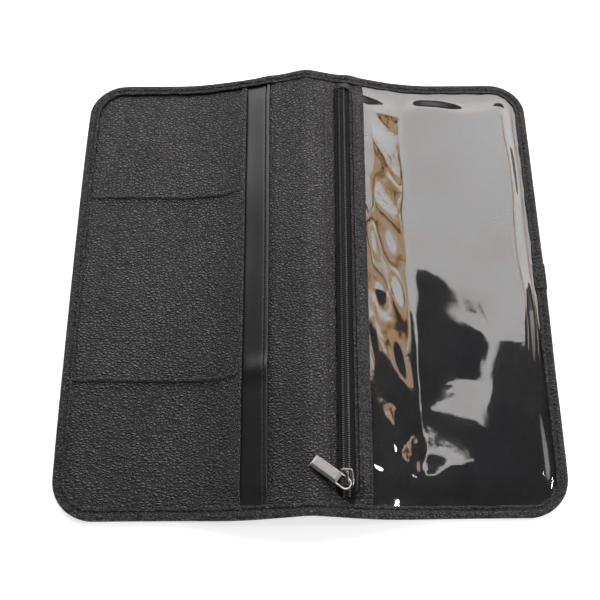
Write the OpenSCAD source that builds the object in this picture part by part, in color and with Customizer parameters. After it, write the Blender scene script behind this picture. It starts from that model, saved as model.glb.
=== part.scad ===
// Travel document organizer, lying open with its inner side up.
// The two halves lie flat and the soft spine between them stands up as a low tent.
// Origin: centre of the outline, on the surface that it rests on. +X right, +Y away, +Z up.

/* [Overall] */
// Width when open, from outer edge to outer edge
open_w = 254; // [230:1:280]
// Length along the spine
open_l = 250; // [230:1:280]
// Radius of the four outer corners
corner_r = 20; // [12:1:26]

/* [Tented spine] */
// Distance from the fold line at which each half lies flat
flat_from = 76; // [72:1:84]
// Slope of the tent's two sides, in degrees
tent_angle = 17; // [12:1:17]
// Radius of the bend at the foot of each side
foot_r = 120; // [100:5:120]
// Radius of the ridge along the fold line
ridge_r = 9; // [6:1:9]
// Half the width of the strip that turns when the halves close
spine_half_w = 8; // [7:0.5:9]
// Height of the folding axis above the ridge
axis_above_ridge = 7.2; // [6.5:0.1:9]

/* [Sheets] */
// Thickness of the outer cover
cover_t = 0.7; // [0.5:0.1:0.9]
// Thickness of the stiffening board in each half
board_t = 0.5; // [0.4:0.1:0.8]
// Thickness of the lining
lining_t = 0.3; // [0.2:0.1:0.5]
// Thickness of each pocket panel
panel_t = 0.4; // [0.3:0.1:0.5]
// Thickness of the clear window
window_t = 0.3; // [0.2:0.05:0.4]

/* [Edge binding] */
// Width of the binding on the faces
binding_w = 6.5; // [5:0.5:8]
// Thickness of the binding strip
binding_t = 0.5; // [0.4:0.1:0.7]
// Length of the overlap where its two ends meet
overlap_l = 15; // [10:1:20]

/* [Left pockets] */
// Distance of the rear pocket's edge from the fold line
rear_edge_x = 20; // [19.5:0.5:22]
// Width of the rear pocket's turned edge
rear_hem_w = 2; // [1.5:0.5:3]
// Distance of the front pocket's edge from the fold line
front_edge_x = 33; // [32.5:0.5:36]
// Width of the front pocket's turned hem
front_hem_w = 3; // [2:0.5:4]
// Place along the spine of the middle pocket's opening
middle_open_y = 52; // [30:1:70]
// Place along the spine of the low pocket's opening
low_open_y = -54; // [-80:1:-30]

/* [Zipper] */
// Distance of the chain from the fold line, at the slider
zip_x = 16.8; // [16.5:0.1:18]
// Place of the slider along the spine when the zipper is shut
slider_y = -108; // [-109:1:-100]
// Angle at which the zipper runs away from the fold line
zip_slant = 0.85; // [0:0.05:0.9]
// Distance from one tooth to the next
tooth_pitch = 1.05; // [1:0.05:1.3]
// Length of the slider
slider_l = 9.2; // [8:0.1:10]
// Width of the slider
slider_w = 6.8; // [6.2:0.1:6.8]

/* [Pull tab] */
// Length of the solid bar
bar_l = 14.5; // [12:0.5:18]
// Width of the bar and of its loop
bar_w = 6; // [5:0.5:6]
// Thickness of the bar
bar_t = 1.7; // [1.4:0.1:1.8]
// Direction in which the pull tab lies, from +X
bar_turn = 144; // [142:1:200]

/* [Hidden] */

half_w = open_w / 2;
half_l = open_l / 2;
joint_gap = 0.3;
tall = 40;
near = 0.001;

// Heights above the base curve, which is the underside of the edge binding.
cover_low = binding_t;
cover_top = cover_low + cover_t;
board_top = cover_top + board_t;
flat_lining_top = board_top + lining_t;
rear_top = flat_lining_top + panel_t;
front_top = rear_top + panel_t;
middle_top = front_top + panel_t;
low_top = middle_top + panel_t;
rear_fold_top = flat_lining_top + 1;
window_low = flat_lining_top + 0.08;

// Distances from the fold line at which the layers change height.
left_ramp = [12, 17];
right_ramp = [27, 31];
lining_low_left = [[left_ramp[0], cover_top], [left_ramp[1], board_top]];
lining_low_right = [[right_ramp[0], cover_top], [right_ramp[1], board_top]];
lining_top_left = [for (p = lining_low_left) [p[0], p[1] + lining_t]];
lining_top_right = [for (p = lining_low_right) [p[0], p[1] + lining_t]];
stack_left = concat(lining_top_left, [[rear_edge_x - 0.5, rear_fold_top + 0.05], [front_edge_x - 0.5, low_top]]);
window_ramp = [zip_x + 3.5, zip_x + 6.5];
stack_right = [[window_ramp[0], cover_top + lining_t], [window_ramp[1], window_low + window_t + 0.02]];

// Cross-section of the tent: flat, foot bend, straight side, ridge.
foot_x = flat_from - foot_r * sin(tent_angle);
ridge_x = ridge_r * sin(tent_angle);
foot_rise = foot_r * (1 - cos(tent_angle));
side_rise = foot_rise + (foot_x - ridge_x) * tan(tent_angle);
ridge_z = side_rise + ridge_r * (1 - cos(tent_angle));
foot_steps = 8;
ridge_steps = 3;

function side(x) = x < 0 ? -1 : 1;
function lean(x) =
    abs(x) >= flat_from ? 0 :
    abs(x) >= foot_x ? asin((flat_from - abs(x)) / foot_r) :
    abs(x) >= ridge_x ? tent_angle : asin(abs(x) / ridge_r);
function rise(x) =
    abs(x) >= flat_from ? 0 :
    abs(x) >= foot_x ? foot_r * (1 - cos(lean(x))) :
    abs(x) >= ridge_x ? foot_rise + (foot_x - abs(x)) * tan(tent_angle) :
    ridge_z - ridge_r * (1 - cos(lean(x)));
// A point at height h above the base curve, measured square to it.
function above(x, h) = [x + side(x) * h * sin(lean(x)), rise(x) + h * cos(lean(x))];
function height(h, x) = is_list(h) ? lookup(abs(x), h) : h;

bends = concat(
    [for (i = [0:ridge_steps]) ridge_r * sin(tent_angle * i / ridge_steps)],
    left_ramp, [rear_edge_x - 0.5], window_ramp, right_ramp, [front_edge_x - 0.5],
    [for (i = [0:foot_steps]) flat_from - foot_r * sin(tent_angle * (1 - i / foot_steps))]
);
signed_bends = concat([for (i = [len(bends) - 1:-1:1]) -bends[i]], bends);
function stations(x0, x1) =
    concat([x0], [for (x = signed_bends) if (x > x0 + near && x < x1 - near) x], [x1]);

// A profile in X and Z, carried along Y.
module along_y(y0, y1) {
    translate([0, y1, 0]) rotate([90, 0, 0]) linear_extrude(y1 - y0) children();
}

// A sheet that follows the tent between two heights.
module sheet(x0, x1, low, high, y0 = -half_l, y1 = half_l) {
    xs = stations(x0, x1);
    last = len(xs) - 1;
    along_y(y0, y1)
        polygon(concat(
            [for (x = xs) above(x, height(low, x))],
            [for (i = [last:-1:0]) above(xs[i], height(high, xs[i]))]
        ));
}

// The organizer's outline, drawn in by inset, as an upright block.
module outline_block(inset) {
    r = corner_r - inset;
    x = half_w - corner_r;
    y = half_l - corner_r;
    translate([0, 0, -1]) {
        translate([-x - r, -y, 0]) cube([2 * (x + r), 2 * y, tall]);
        translate([-x, -y - r, 0]) cube([2 * x, 2 * (y + r), tall]);
        for (sx = [-1, 1], sy = [-1, 1])
            translate([sx * x, sy * y, 0]) cylinder(r = r, h = tall, $fn = 64);
    }
}

module trimmed_sheet(x0, x1, low, high, y0 = -half_l, y1 = half_l) {
    intersection() {
        sheet(x0, x1, low, high, y0, y1);
        outline_block(binding_t);
    }
}

left_end = -spine_half_w - joint_gap;
right_end = spine_half_w + joint_gap;

// ---- cover, boards and lining ----
module outer_cover_left() {
    color([0.13, 0.13, 0.14]) trimmed_sheet(-half_w, left_end, cover_low, cover_top);
}

module outer_cover_spine() {
    color([0.13, 0.13, 0.14]) trimmed_sheet(-spine_half_w, spine_half_w, cover_low, cover_top);
}

module outer_cover_right() {
    color([0.13, 0.13, 0.14]) trimmed_sheet(right_end, half_w, cover_low, cover_top);
}

module stiffener_board_left() {
    board_inset = 2;
    color([0.5, 0.45, 0.38])
        trimmed_sheet(-half_w + board_inset, -left_ramp[1], cover_top, board_top,
            -half_l + board_inset, half_l - board_inset);
}

module stiffener_board_right() {
    board_inset = 2;
    color([0.5, 0.45, 0.38])
        trimmed_sheet(right_ramp[1], half_w - board_inset, cover_top, board_top,
            -half_l + board_inset, half_l - board_inset);
}

module lining_left() {
    color([0.2, 0.2, 0.21]) trimmed_sheet(-half_w, left_end, lining_low_left, lining_top_left);
}

module lining_spine() {
    color([0.2, 0.2, 0.21])
        trimmed_sheet(-spine_half_w, spine_half_w, cover_top, cover_top + lining_t);
}

module lining_right() {
    color([0.2, 0.2, 0.21]) trimmed_sheet(right_end, half_w, lining_low_right, lining_top_right);
}

// ---- left pockets ----
module rear_slip_pocket() {
    color([0.1, 0.1, 0.1])
        trimmed_sheet(-half_w, -rear_edge_x - rear_hem_w, flat_lining_top, rear_top);
}

module rear_pocket_edge_fold() {
    color([0.12, 0.12, 0.12])
        trimmed_sheet(-rear_edge_x - rear_hem_w, -rear_edge_x, flat_lining_top, rear_fold_top);
}

module front_slip_pocket() {
    color([0.22, 0.22, 0.23])
        trimmed_sheet(-half_w, -front_edge_x - front_hem_w, rear_top, front_top);
}

module front_pocket_hem() {
    color([0.24, 0.24, 0.25])
        trimmed_sheet(-front_edge_x - front_hem_w, -front_edge_x, rear_top, low_top);
}

module middle_card_pocket() {
    color([0.22, 0.22, 0.23])
        trimmed_sheet(-half_w, -front_edge_x - front_hem_w, front_top, middle_top,
            -half_l, middle_open_y);
}

module low_card_pocket() {
    color([0.22, 0.22, 0.23])
        trimmed_sheet(-half_w, -front_edge_x - front_hem_w, middle_top, low_top,
            -half_l, low_open_y);
}

// ---- edge binding ----
// A strip folded round the edge: two leaves and an outer wall.
module binding(x0, x1, stack) {
    top = is_list(stack) ? [for (p = stack) [p[0], p[1] + binding_t]] : stack + binding_t;
    past = 5;
    color([0.16, 0.16, 0.17]) difference() {
        intersection() {
            sheet(x0, x1, 0, top);
            outline_block(0);
        }
        intersection() {
            sheet(x0 - past, x1 + past, cover_low, stack);
            outline_block(binding_t);
        }
        outline_block(binding_w);
    }
}

module edge_binding_left() {
    binding(-half_w, left_end, stack_left);
}

module edge_binding_right() {
    binding(right_end, half_w, stack_right);
}

module edge_binding_spine(y0, y1) {
    intersection() {
        binding(-spine_half_w, spine_half_w, cover_top + lining_t);
        translate([-tall, y0, -1]) cube([2 * tall, y1 - y0, tall]);
    }
}

module edge_binding_spine_back() {
    edge_binding_spine(0, half_l);
}

module edge_binding_spine_front() {
    edge_binding_spine(-half_l, 0);
}

// The end of the strip, which lies over its start at the middle of the right edge.
module edge_binding_overlap() {
    lip = 0.5;
    leaf_z = lookup(half_w, stack_right) + binding_t;
    color([0.16, 0.16, 0.17]) along_y(-overlap_l * 0.4, overlap_l * 0.6)
        polygon([
            [half_w - binding_w, leaf_z], [half_w, leaf_z], [half_w, lip],
            [half_w + lip, lip], [half_w + lip, leaf_z + lip], [half_w - binding_w, leaf_z + lip]
        ]);
}

// ---- zipper ----
tape_low = 16.4;
tape_top = 16.9;
coil_top = 18.3;
chain_half_w = 2;
web_slot = 0.25;
zip_half_l = 117.5;
bend_x = zip_x + slider_w / 2 + 0.4;
facing_x = bend_x + 0.6;
facing_w = 2.8;
facing_t = 0.6;
strip_x = 23;
strip_w = 6.5;
window_x = strip_x + 0.6;
tent_slope = tan(tent_angle);

// Turns the zipper by its slant about the tent side's own normal, so that it stays on that side.
module on_tent_side() {
    pivot = [zip_x, slider_y, rise(zip_x)];
    translate(pivot) rotate(a = -zip_slant, v = [sin(tent_angle), 0, cos(tent_angle)])
        translate(-pivot) children();
}

// Top of the lining on the tent's right side, and the line that the tape follows above it.
function lining_z(x) = rise(x) + (cover_top + lining_t) / cos(tent_angle);
function tape_z(x) = tape_top - max(0, x - bend_x) * tent_slope;

module zipper_tape_left() {
    wall = bend_x - 2 * (bend_x - zip_x);
    color([0.08, 0.08, 0.08]) on_tent_side() along_y(-zip_half_l, zip_half_l)
        polygon([
            [wall, lining_z(wall)], [wall + 0.35, lining_z(wall + 0.35)], [wall + 0.35, tape_low],
            [zip_x - web_slot, tape_low], [zip_x - web_slot, tape_top], [wall, tape_top]
        ]);
}

module zipper_tape_right() {
    end_x = facing_x + facing_w;
    tape_t = tape_top - tape_low;
    color([0.08, 0.08, 0.08]) on_tent_side() along_y(-zip_half_l, zip_half_l)
        polygon([
            [zip_x + web_slot, tape_low], [bend_x, tape_low], [end_x, tape_z(end_x) - tape_t],
            [end_x, tape_z(end_x)], [bend_x, tape_top], [zip_x + web_slot, tape_top]
        ]);
}

// One row of teeth: a rail with a tooth at each pitch, its tips clear of the slider's web.
module coil(way, offset) {
    rail_w = 0.8;
    tooth_l = tooth_pitch * 0.55;
    count = floor(2 * zip_half_l / tooth_pitch) - 1;
    tips = [for (i = [0:count - 1]) let (y = -zip_half_l + offset + i * tooth_pitch)
        each [[rail_w, y], [chain_half_w - web_slot, y],
            [chain_half_w - web_slot, y + tooth_l], [rail_w, y + tooth_l]]];
    color([0.05, 0.05, 0.05]) on_tent_side()
        translate([zip_x + way * chain_half_w, 0, tape_top]) scale([-way, 1, 1])
            linear_extrude(coil_top - tape_top)
                polygon(concat([[0, -zip_half_l], [rail_w, -zip_half_l]], tips,
                    [[rail_w, zip_half_l], [0, zip_half_l]]));
}

module zipper_coil_left() {
    coil(-1, 0.1);
}

module zipper_coil_right() {
    coil(1, 0.1 + tooth_pitch / 2);
}

// A strip that lies on the tape or the window and slopes with the tent's side.
module sloping_strip(x0, width, low, thick, y_half) {
    on_tent_side() along_y(-y_half, y_half)
        polygon([
            [x0, tape_z(x0) + low], [x0 + width, tape_z(x0 + width) + low],
            [x0 + width, tape_z(x0 + width) + low + thick], [x0, tape_z(x0) + low + thick]
        ]);
}

module zipper_facing_strip() {
    color([0.25, 0.25, 0.26])
        sloping_strip(facing_x, strip_x - facing_x - 0.1, 0, facing_t, zip_half_l);
}

module window_binding_strip() {
    color([0.18, 0.18, 0.19]) sloping_strip(strip_x, strip_w, 0.45, 0.8, zip_half_l);
}

// ---- window ----
// The clear sheet stands off the lining at the zipper and comes down to it at the other three sides.
window_swell = 2.75;
window_end_x = half_w - binding_t - 0.1;
window_end_y = half_l - binding_t - 0.1;
window_flat_y = half_l - binding_w - 0.6;
window_fall = 14;
function ease(t) = let (c = max(0, min(1, t))) c * c * (3 - 2 * c);
function swell(x, y) =
    window_swell * ease((window_flat_y - abs(y)) / window_fall) * (1 - ease((x - 34) / 84));

module clear_window() {
    steps_x = 22;
    steps_y = 28;
    start = function (y) window_x + 1 + tan(zip_slant) * (y - slider_y);
    // Rows crowd towards the two ends, where the sheet comes down, and the last pair lies flat.
    row = function (j) j == 0 ? -window_end_y : j == steps_y ? window_end_y :
        window_flat_y * sin(90 * (2 * (j - 1) / (steps_y - 2) - 1));
    xy = function (i, j) let (y = row(j))
        [start(y) + (window_end_x - start(y)) * i / steps_x, y];
    corner = function (i, j, lift) let (p = xy(i, j), q = above(p[0], window_low + swell(p[0], p[1]) + lift))
        [q[0], p[1], q[1]];
    across = steps_y + 1;
    count = (steps_x + 1) * across;
    points = [for (lift = [0, window_t], i = [0:steps_x], j = [0:steps_y]) corner(i, j, lift)];
    at = function (i, j) i * across + j;
    quads = concat(
        [for (i = [0:steps_x - 1], j = [0:steps_y - 1])
            [at(i, j), at(i + 1, j), at(i + 1, j + 1), at(i, j + 1)]],
        [for (i = [0:steps_x - 1], j = [0:steps_y - 1])
            [for (k = [at(i, j + 1), at(i + 1, j + 1), at(i + 1, j), at(i, j)]) k + count]],
        [for (i = [0:steps_x - 1], j = [0, steps_y]) let (q = [at(i + 1, j), at(i, j)])
            j == 0 ? [q[0], q[1], q[1] + count, q[0] + count] : [q[1], q[0], q[0] + count, q[1] + count]],
        [for (j = [0:steps_y - 1], i = [0, steps_x]) let (q = [at(i, j), at(i, j + 1)])
            i == 0 ? [q[0], q[1], q[1] + count, q[0] + count] : [q[1], q[0], q[0] + count, q[1] + count]]
    );
    triangles = [for (q = quads) each [[q[0], q[1], q[2]], [q[0], q[2], q[3]]]];
    color([0.6, 0.6, 0.6, 0.5]) intersection() {
        polyhedron(points, triangles);
        outline_block(binding_t);
    }
}

// ---- slider ----
plate_t = 0.8;
bottom_plate_t = 0.7;
bottom_plate_low = 15.4;
top_plate_low = 18.55;
top_plate_top = top_plate_low + plate_t;
flange_low = 17.2;
flange_w = 0.6;
post_y = slider_y - 3.4;
back_foot_y = slider_y + 3;
strap_low = top_plate_top + 2;
strap_t = 0.8;
strap_w = 1.8;
foot_l = 1.2;

// The plate's outline: narrow where the closed chain leaves it, full width at its shoulders.
module plate_outline(width) {
    narrow = 0.82;
    l = slider_l / 2;
    w = width / 2;
    polygon([
        [-w * narrow, l], [-w, l * 0.25], [-w, -l * 0.45], [-w * narrow, -l * 0.9], [-w * 0.5, -l],
        [w * 0.5, -l], [w * narrow, -l * 0.9], [w, -l * 0.45], [w, l * 0.25], [w * narrow, l]
    ]);
}

module at_slider() {
    on_tent_side() translate([zip_x, slider_y, 0]) children();
}

module slider_body() {
    web_t = 0.3;
    color([0.35, 0.34, 0.33]) at_slider() {
        translate([0, 0, bottom_plate_low]) linear_extrude(bottom_plate_t) plate_outline(slider_w - 0.6);
        translate([0, 0, top_plate_low]) linear_extrude(plate_t) plate_outline(slider_w);
        translate([0, 0, flange_low]) linear_extrude(top_plate_top - flange_low) difference() {
            plate_outline(slider_w);
            square([slider_w - 2 * flange_w, slider_l + 1], center = true);
        }
        translate([-web_t / 2, -slider_l / 2 + 0.3, bottom_plate_low])
            cube([web_t, 3, top_plate_top - bottom_plate_low]);
    }
}

module slider_bridge() {
    span = back_foot_y - post_y + foot_l;
    color([0.45, 0.44, 0.43]) at_slider() {
        for (y = [post_y, back_foot_y])
            translate([-strap_w / 2 + 0.1, y - slider_y - foot_l / 2, top_plate_top])
                cube([strap_w - 0.2, foot_l, strap_low - top_plate_top]);
        translate([-strap_w / 2, post_y - slider_y - foot_l / 2, strap_low])
            cube([strap_w, span, strap_t]);
    }
}

// ---- pull tab ----
loop_t = 1.1;
tab_low = top_plate_top + 0.45;
loop_hole_r = 2.1;
loop_shift = 1;
bar_start = 4.2;

module pull_tab() {
    loop_r = bar_w / 2;
    color([0.55, 0.54, 0.53]) at_slider()
        translate([0, post_y - slider_y, tab_low]) rotate([0, 0, bar_turn]) translate([loop_shift, 0, 0]) {
            difference() {
                union() {
                    cylinder(r = loop_r, h = loop_t, $fn = 48);
                    translate([0, -loop_r, 0]) cube([bar_start, bar_w, loop_t]);
                }
                translate([0, 0, -1]) cylinder(r = loop_hole_r, h = loop_t + 2, $fn = 48);
                translate([0, -loop_hole_r, -1]) cube([bar_start - 1, 2 * loop_hole_r, loop_t + 2]);
            }
            translate([bar_start, -loop_r, 0]) cube([bar_l, bar_w, bar_t]);
        }
}

outer_cover_left();
outer_cover_spine();
outer_cover_right();
stiffener_board_left();
stiffener_board_right();
lining_left();
lining_spine();
lining_right();
rear_slip_pocket();
rear_pocket_edge_fold();
front_slip_pocket();
front_pocket_hem();
middle_card_pocket();
low_card_pocket();
edge_binding_left();
edge_binding_right();
edge_binding_spine_back();
edge_binding_spine_front();
edge_binding_overlap();
zipper_tape_left();
zipper_tape_right();
zipper_coil_left();
zipper_coil_right();
zipper_facing_strip();
window_binding_strip();
clear_window();
slider_body();
slider_bridge();
pull_tab();
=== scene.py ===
"""The looks of the travel document organizer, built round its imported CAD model.

Shapes are worked out in millimetres in the CAD's frame, with the CAD's own driving sizes,
and turned into metres where a mesh is made.
"""

import math

import bmesh
import bpy
import numpy as np
from mathutils import Matrix, Vector


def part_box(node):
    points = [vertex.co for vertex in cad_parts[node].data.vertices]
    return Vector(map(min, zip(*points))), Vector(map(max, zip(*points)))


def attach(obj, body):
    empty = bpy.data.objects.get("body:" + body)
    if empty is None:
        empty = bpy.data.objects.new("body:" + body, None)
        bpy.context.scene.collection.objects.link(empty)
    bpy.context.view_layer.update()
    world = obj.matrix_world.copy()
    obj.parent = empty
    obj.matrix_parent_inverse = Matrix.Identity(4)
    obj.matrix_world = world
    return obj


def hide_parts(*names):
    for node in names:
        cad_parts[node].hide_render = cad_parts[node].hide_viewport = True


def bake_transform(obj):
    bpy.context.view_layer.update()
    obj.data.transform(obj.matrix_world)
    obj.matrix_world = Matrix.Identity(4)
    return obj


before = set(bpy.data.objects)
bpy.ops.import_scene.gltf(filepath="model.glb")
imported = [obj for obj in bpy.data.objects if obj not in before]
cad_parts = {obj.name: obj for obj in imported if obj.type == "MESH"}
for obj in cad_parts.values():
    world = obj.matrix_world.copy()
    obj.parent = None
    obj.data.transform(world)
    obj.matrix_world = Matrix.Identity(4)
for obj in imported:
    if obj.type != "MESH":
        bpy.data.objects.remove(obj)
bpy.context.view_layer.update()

MM = 0.001


# ---------------------------------------------------------------- sizes that the CAD has

HALF_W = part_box("edge_binding_left")[0].x / -MM
HALF_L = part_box("edge_binding_left")[1].y / MM
CORNER_R = 20.0
FLAT_FROM = 76.0
TENT = math.radians(17)
FOOT_R = 120.0
RIDGE_R = 9.0
FOOT_X = FLAT_FROM - FOOT_R * math.sin(TENT)
RIDGE_X = RIDGE_R * math.sin(TENT)
SIDE_RISE = FOOT_R * (1 - math.cos(TENT)) + (FOOT_X - RIDGE_X) * math.tan(TENT)
RIDGE_Z = SIDE_RISE + RIDGE_R * (1 - math.cos(TENT))

BINDING_W = 6.5
STRIP_FACE = 5.9
BINDING_T = 0.5
COVER_TOP = 1.2
LINING_T = 0.3
FLAT_LINING_TOP = 2.0
PANEL_T = 0.4
REAR_EDGE, REAR_HEM = 20.0, 2.0
FRONT_EDGE, FRONT_HEM = 33.0, 3.0
MIDDLE_OPEN_Y, LOW_OPEN_Y = 52.0, -54.0

ZIP_X, SLIDER_Y = 16.8, -108.0
ZIP_SLANT = math.radians(0.85)
TAPE_LOW, TAPE_TOP, COIL_TOP = 16.4, 16.9, 18.3
TOOTH_PITCH = 1.05
BEND_X = 20.6
FACING_X, FACING_W = 21.2, 1.7
STRIP_X, STRIP_W = 23.0, 6.5
WINDOW_X = 24.6
WINDOW_LOW, WINDOW_T = 2.08, 0.3

CHAIN_TURN = ZIP_SLANT * math.cos(TENT)
CHAIN_MIDDLE = ZIP_X * math.cos(CHAIN_TURN) - SLIDER_Y * math.sin(CHAIN_TURN)

# Where the zipper's strips and the fold over their back end stop, under the binding.
ZIP_END, END_FOLD_END = 119.6, 118.2


# ---------------------------------------------------------------- the tent and the outline

def ease(t):
    """0 to 1 with a soft start and a soft end."""
    t = np.clip(t, 0, 1)
    return t * t * (3 - 2 * t)


def lean(x):
    """The slope of the base curve at distance x from the fold line, in radians."""
    away = np.abs(x)
    foot = np.arcsin(np.clip((FLAT_FROM - away) / FOOT_R, 0, math.sin(TENT)))
    ridge = np.arcsin(np.clip(away / RIDGE_R, 0, math.sin(TENT)))
    return np.minimum(foot, ridge)


def rise(x):
    """The height of the base curve, which is the underside of the edge binding."""
    away = np.abs(x)
    foot = np.arcsin(np.clip((FLAT_FROM - away) / FOOT_R, 0, math.sin(TENT)))
    side = FOOT_R * (1 - np.cos(foot)) + np.maximum(FOOT_X - away, 0) * math.tan(TENT)
    ridge = RIDGE_Z - RIDGE_R * (1 - np.cos(lean(x)))
    return np.where(away < RIDGE_X, ridge, side)


# How far sewing and use draw the outline out (+) or in (-) at its corners and its two ends.
BACK_LEFT_PULL, BACK_RIGHT_PULL, FRONT_PULL, FRONT_BOW, BACK_SAG = 2.1, 0.7, -1.2, -1.0, -1.2


def pulled(x, y):
    """How far sewing and use have moved a place in x and in y."""
    outer = np.clip((np.abs(x) - 40) / 60, 0, 1)
    back_left = BACK_LEFT_PULL * np.exp(-(HALF_L - y) / 38) * outer * (x < 0)
    back_right = BACK_RIGHT_PULL * ease((y + 60) / 60) * outer * (x > 0)
    front = FRONT_PULL * np.sign(x) * np.exp(-(HALF_L + y) / 22) * outer
    front_bow = FRONT_BOW * np.exp(-(HALF_L + y) / 9) * np.exp(-((np.abs(x) - 32) / 24) ** 2)
    back_sag = BACK_SAG * np.exp(-(HALF_L - y) / 9) * np.exp(-((x + 30) / 14) ** 2)
    return back_left + back_right + front, front_bow + back_sag


def above(x, y, h):
    """Points at height h above the base curve, measured square to it."""
    x, y, h = np.broadcast_arrays(np.asarray(x, float), np.asarray(y, float), h)
    pull_x, pull_y = pulled(x, y)
    out = x + np.sign(x) * h * np.sin(lean(x))
    return np.stack([out + pull_x, y + pull_y, rise(x) + h * np.cos(lean(x))], -1)


def up_at(x):
    """The surface's upward normal at distance x from the fold line."""
    x = np.asarray(x, float)
    return np.stack([np.sign(x) * np.sin(lean(x)), np.zeros_like(x), np.cos(lean(x))], -1)


def edge_distance(x, y):
    """How far a point lies inside the organizer's outline."""
    over_x = np.abs(x) - (HALF_W - CORNER_R)
    over_y = np.abs(y) - (HALF_L - CORNER_R)
    beyond = np.hypot(np.maximum(over_x, 0), np.maximum(over_y, 0))
    return CORNER_R - beyond - np.minimum(np.maximum(over_x, over_y), 0)


def edge_y(x, inset):
    """Half the length of the outline, drawn in by inset, at distance x from the fold line."""
    past = np.clip(np.abs(x) - (HALF_W - CORNER_R), 0, CORNER_R - inset)
    return HALF_L - CORNER_R + np.sqrt((CORNER_R - inset) ** 2 - past ** 2)


def undulation(x, y):
    """The slow waves of leather that lies on a table, none of them under the binding."""
    waves = (0.20 * np.sin(x / 15 + y / 70 + 0.6) * np.sin(y / 21 + 1.1)
             + 0.08 * np.sin(x / 8.5 - y / 26 + 2.0) + 0.13 * np.sin(y / 9 + x / 30) * np.sin(x / 19 + 0.7))
    return waves * ease((edge_distance(x, y) - BINDING_W) / 12)


def between(table, x):
    """A height that changes with the distance from the fold line, as pairs of distance and height."""
    distances, heights = zip(*table)
    return np.interp(np.abs(x), distances, heights)


STACK_LEFT = [(12, 1.5), (17, 2.0), (19.5, 3.05), (32.5, 3.6)]
STACK_RIGHT = [(20.3, 1.5), (23.3, 2.4)]
LINING_TOP_LEFT = [(12, 1.5), (17, 2.0)]
LINING_TOP_RIGHT = [(27, 1.5), (31, 2.0)]


# ---------------------------------------------------------------- mesh helpers

def make_piece(name, points, faces, material, slot, sharp_deg=40):
    """A mesh object from points in millimetres, smooth but for edges sharper than sharp_deg."""
    mesh = bpy.data.meshes.new(name)
    mesh.from_pydata((np.asarray(points, float) * MM).tolist(), [], [list(map(int, f)) for f in faces])
    tidy = bmesh.new()
    tidy.from_mesh(mesh)
    bmesh.ops.recalc_face_normals(tidy, faces=tidy.faces)
    tidy.to_mesh(mesh)
    tidy.free()
    mesh.shade_smooth()
    mesh.set_sharp_from_angle(angle=math.radians(sharp_deg))
    mesh.materials.append(material)
    piece = bpy.data.objects.new(name, mesh)
    bpy.context.scene.collection.objects.link(piece)
    return piece


def placed(name, mesh, look, body, nodes=(), sharp_deg=40):
    """A piece that rides on a body and stands for CAD nodes. A look is a material and its slot."""
    piece = make_piece(name, *mesh, *look, sharp_deg)
    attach(piece, body)
    if nodes:
        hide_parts(*nodes)
    return piece


def joined(parts):
    """Points and faces of several meshes as one."""
    points, faces, count = [], [], 0
    for some_points, some_faces in parts:
        points.append(np.asarray(some_points, float))
        faces.extend([[k + count for k in f] for f in some_faces])
        count += len(some_points)
    return np.concatenate(points), faces


def loft(rings):
    """Points and faces of a skin over rings of equal size, capped at both ends."""
    rings = np.asarray(rings, float)
    count, size = rings.shape[:2]
    faces = []
    for here in range(0, (count - 1) * size, size):
        there = here + size
        for j in range(size):
            k = (j + 1) % size
            faces.append([here + j, here + k, there + k, there + j])
    faces.append(list(range(size))[::-1])
    faces.append([(count - 1) * size + j for j in range(size)])
    return rings.reshape(-1, 3), faces


def sheet_faces(columns, rows):
    """Faces of a closed sheet whose underside's points come first and its upper side's points after them."""
    under = np.arange(columns * rows).reshape(columns, rows)
    over = under + columns * rows
    faces = []
    for i in range(columns - 1):
        for j in range(rows - 1):
            corners = [(i, j), (i + 1, j), (i + 1, j + 1), (i, j + 1)]
            faces.append([over[c] for c in corners])
            faces.append([under[c] for c in corners[::-1]])
    rim = ([(i, 0) for i in range(columns - 1)] + [(columns - 1, j) for j in range(rows - 1)]
           + [(i, rows - 1) for i in range(columns - 1, 0, -1)] + [(0, j) for j in range(rows - 1, 0, -1)])
    for a, b in zip(rim, rim[1:] + rim[:1]):
        faces.append([under[a], under[b], over[b], over[a]])
    return faces


def closed_sheet(x, y, low, high):
    """Points and faces of a closed sheet over columns by rows of places, between two heights."""
    points = np.concatenate([above(x, y, low).reshape(-1, 3), above(x, y, high).reshape(-1, 3)])
    return points, sheet_faces(*x.shape)


def sweep(path, section, sides, ups):
    """Points and faces of a section carried along a path. The section's points are (along side, along up)."""
    path, section = np.asarray(path, float), np.asarray(section, float)
    to_side = section[None, :, :1] * sides[:, None, :]
    upwards = section[None, :, 1:] * ups[:, None, :]
    return loft(path[:, None, :] + to_side + upwards)


def turned_path(path):
    """Unit vectors along a path."""
    along = np.gradient(np.asarray(path, float), axis=0)
    return along / np.linalg.norm(along, axis=1)[:, None]


PANEL_STEP = 2.6


def spaced(x0, x1, step, crowd_at=(), crowd_width=3.0):
    """Stations from x0 to x1, step apart, and much closer within crowd_width of the places in crowd_at."""
    stations = list(np.linspace(x0, x1, max(2, round((x1 - x0) / step) + 1)))
    for place in crowd_at:
        near = crowd_width * np.array([0.02, 0.06, 0.12, 0.2, 0.3, 0.45, 0.6, 0.8, 1.0])
        stations += [place] + list(place - near) + list(place + near)
    stations = sorted(s for s in stations if x0 <= s <= x1)
    kept = [x0]
    for s in stations[1:]:
        if s - kept[-1] > 0.03:
            kept.append(s)
    kept[-1] = x1
    return np.array(kept)


def panel_grid(xs, inset, y_to=HALF_L, crowd_top=False):
    """Columns of places at xs, from the outline's front edge to its back edge or to y_to."""
    reach = edge_y(xs, inset)
    low, high = -reach, np.minimum(reach, y_to)
    length = float((high - low).max())
    share = spaced(0, length, PANEL_STEP, [length] if crowd_top else []) / length
    y = low[:, None] + (high - low)[:, None] * share[None, :]
    return np.broadcast_to(xs[:, None], y.shape).copy(), y


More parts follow.
